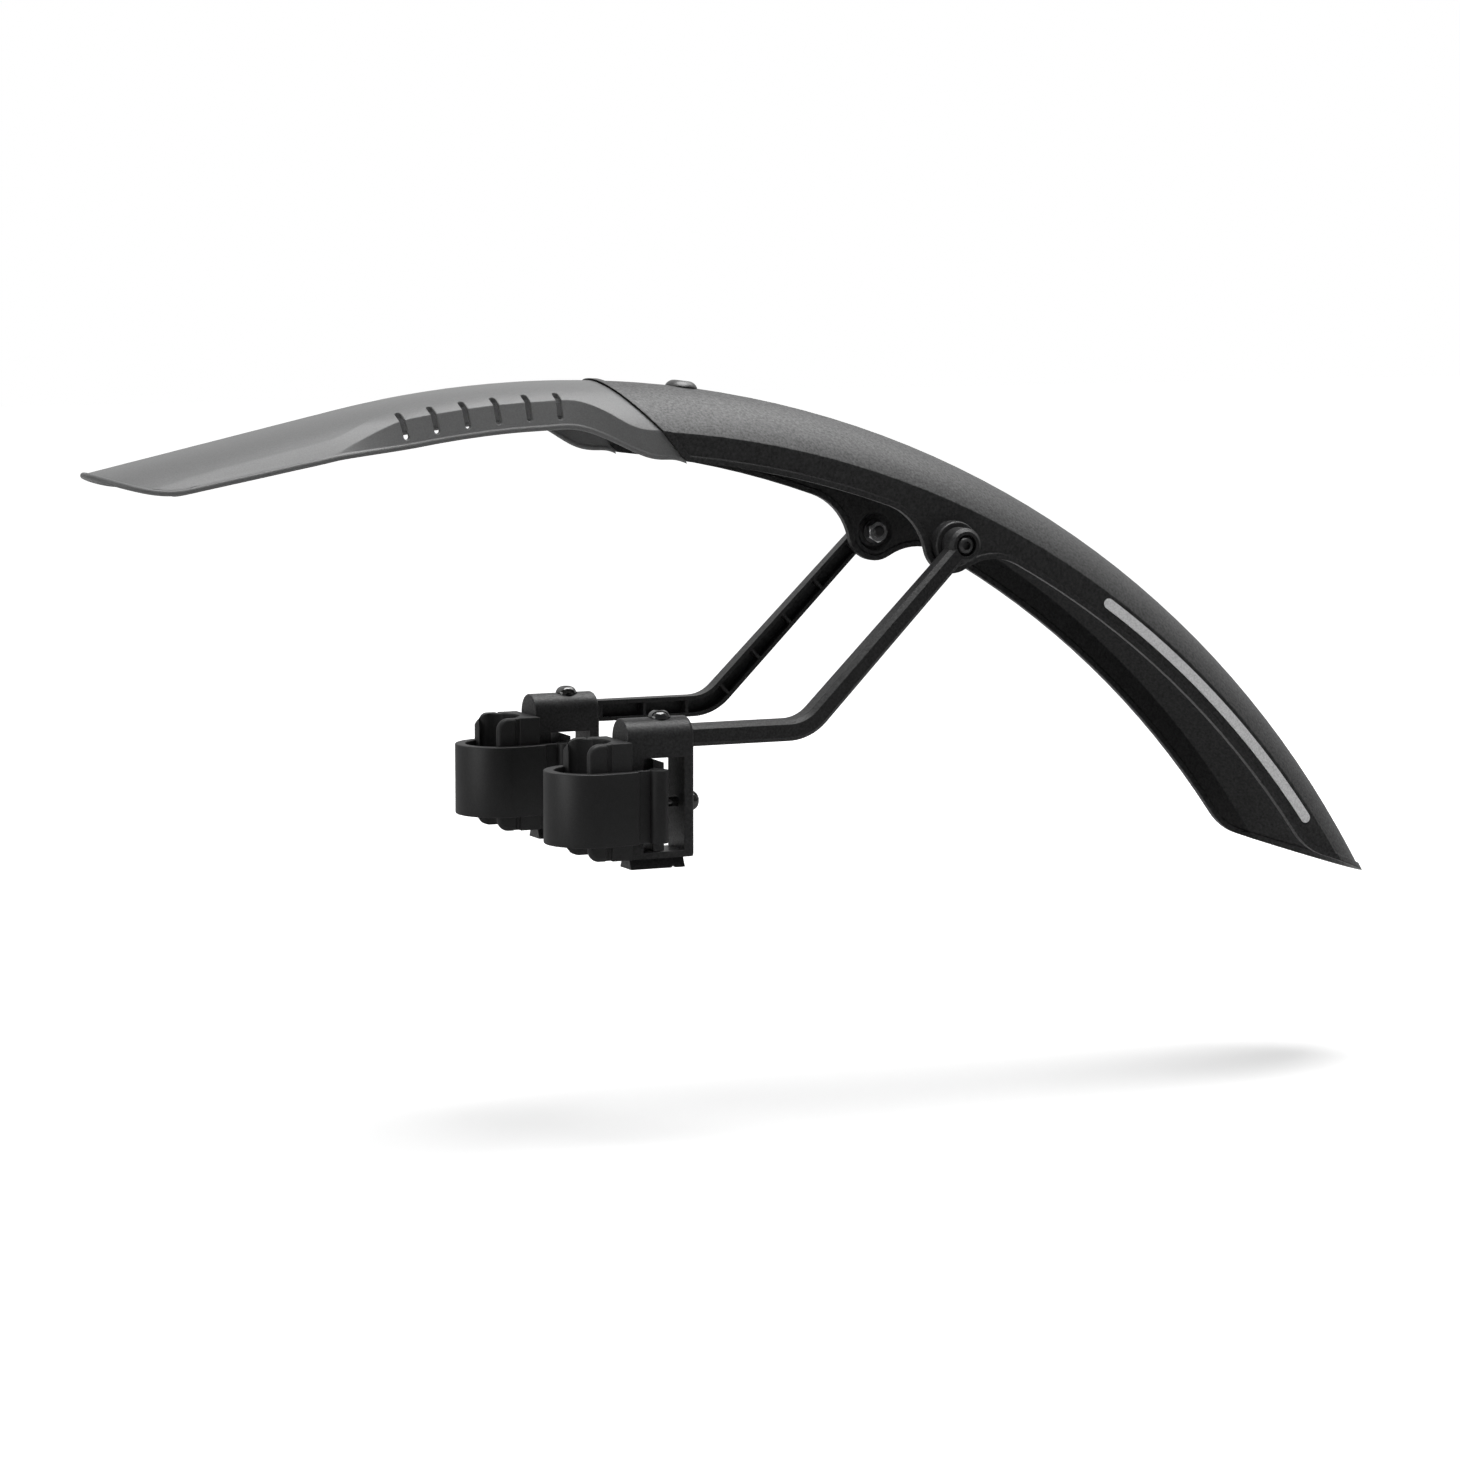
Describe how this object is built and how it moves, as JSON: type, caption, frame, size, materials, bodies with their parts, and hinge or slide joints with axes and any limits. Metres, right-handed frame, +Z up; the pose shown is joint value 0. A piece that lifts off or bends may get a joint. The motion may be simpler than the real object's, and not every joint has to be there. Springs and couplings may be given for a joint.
{
  "type": "bicycle mudguard",
  "caption": "Arched bicycle mudguard with a grey front extension, reflective side strips and bent arms that pivot on it and end in rubber-lined clamps for the seat stays.",
  "frame": {"origin": "midpoint between the two seat stay axes, at half the height of the rubber pads", "axes": "+X to the rear of the bicycle, +Y to the rider's right, +Z up along the stays"},
  "size_m": [0.6963, 0.1602, 0.269],
  "materials": {
    "blade_black": "fine textured",
    "extension_grey": "satin",
    "reflective_grey": "fine beaded",
    "arm_black": "fine textured",
    "clamp_black": "fine textured",
    "pad_rubber": "smooth matte",
    "strap_rubber": "smooth matte",
    "bolt_black": "gloss black",
    "washer_steel": "black zinc",
    "nut_chrome": "bright plated"
  },
  "bodies": {
    "guard": {"blade": "blade_black", "front_extension": "extension_grey", "extension_bolt": "bolt_black", "extension_washer": "washer_steel", "extension_nut": "nut_chrome", "reflector_left": "reflective_grey", "pivot_bolt_left": "bolt_black", "pivot_washer_left": "washer_steel", "pivot_nut_left": "nut_chrome", "reflector_right": "reflective_grey", "pivot_bolt_right": "bolt_black", "pivot_washer_right": "washer_steel", "pivot_nut_right": "nut_chrome"},
    "arm_left": {"arm_left": "arm_black"},
    "clamp_left": {"clamp_body_left": "clamp_black", "lock_screw_left": "bolt_black", "stay_pad_left": "pad_rubber", "strap_left": "strap_rubber", "tension_washer_left": "washer_steel"},
    "bar_left": {"tension_bar_left": "clamp_black"},
    "screw_left": {"tension_screw_left": "bolt_black"},
    "arm_right": {"arm_right": "arm_black"},
    "clamp_right": {"clamp_body_right": "clamp_black", "lock_screw_right": "bolt_black", "stay_pad_right": "pad_rubber", "strap_right": "strap_rubber", "tension_washer_right": "washer_steel"},
    "bar_right": {"tension_bar_right": "clamp_black"},
    "screw_right": {"tension_screw_right": "bolt_black"}
  },
  "joints": [
    {"name": "arm_pivot_left", "type": "hinge", "parent": "guard", "child": "arm_left", "pos_m": [0.2027, -0.0555, 0.1158], "axis": [0, 1, 0], "range_deg": [-35, 25]},
    {"name": "clamp_swivel_left", "type": "hinge", "parent": "arm_left", "child": "clamp_left", "pos_m": [0.0337, -0.0585, 0.0287], "axis": [1, 0, 0], "range_deg": [-15, 15]},
    {"name": "tension_turn_left", "type": "hinge", "parent": "clamp_left", "child": "screw_left", "pos_m": [0.0517, -0.0585, -0.0032], "axis": [-1, 0, 0], "range_deg": [0, 2250.1]},
    {"name": "tension_pull_left", "type": "slide", "parent": "clamp_left", "child": "bar_left", "axis": [1, 0, 0], "range_m": [0, 0.005], "deforming": ["strap_left"]},
    {"name": "arm_pivot_right", "type": "hinge", "parent": "guard", "child": "arm_right", "pos_m": [0.2027, 0.0555, 0.1158], "axis": [0, 1, 0], "range_deg": [-35, 25]},
    {"name": "clamp_swivel_right", "type": "hinge", "parent": "arm_right", "child": "clamp_right", "pos_m": [0.0337, 0.0585, 0.0287], "axis": [1, 0, 0], "range_deg": [-15, 15]},
    {"name": "tension_turn_right", "type": "hinge", "parent": "clamp_right", "child": "screw_right", "pos_m": [0.0517, 0.0585, -0.0032], "axis": [-1, 0, 0], "range_deg": [0, 2250.1]},
    {"name": "tension_pull_right", "type": "slide", "parent": "clamp_right", "child": "bar_right", "axis": [1, 0, 0], "range_m": [0, 0.005], "deforming": ["strap_right"]}
  ],
  "couplings": [
    {"joint": "tension_turn_left", "follows": "tension_pull_left", "rad_per_m": 7854},
    {"joint": "tension_turn_right", "follows": "tension_pull_right", "rad_per_m": 7854}
  ]
}
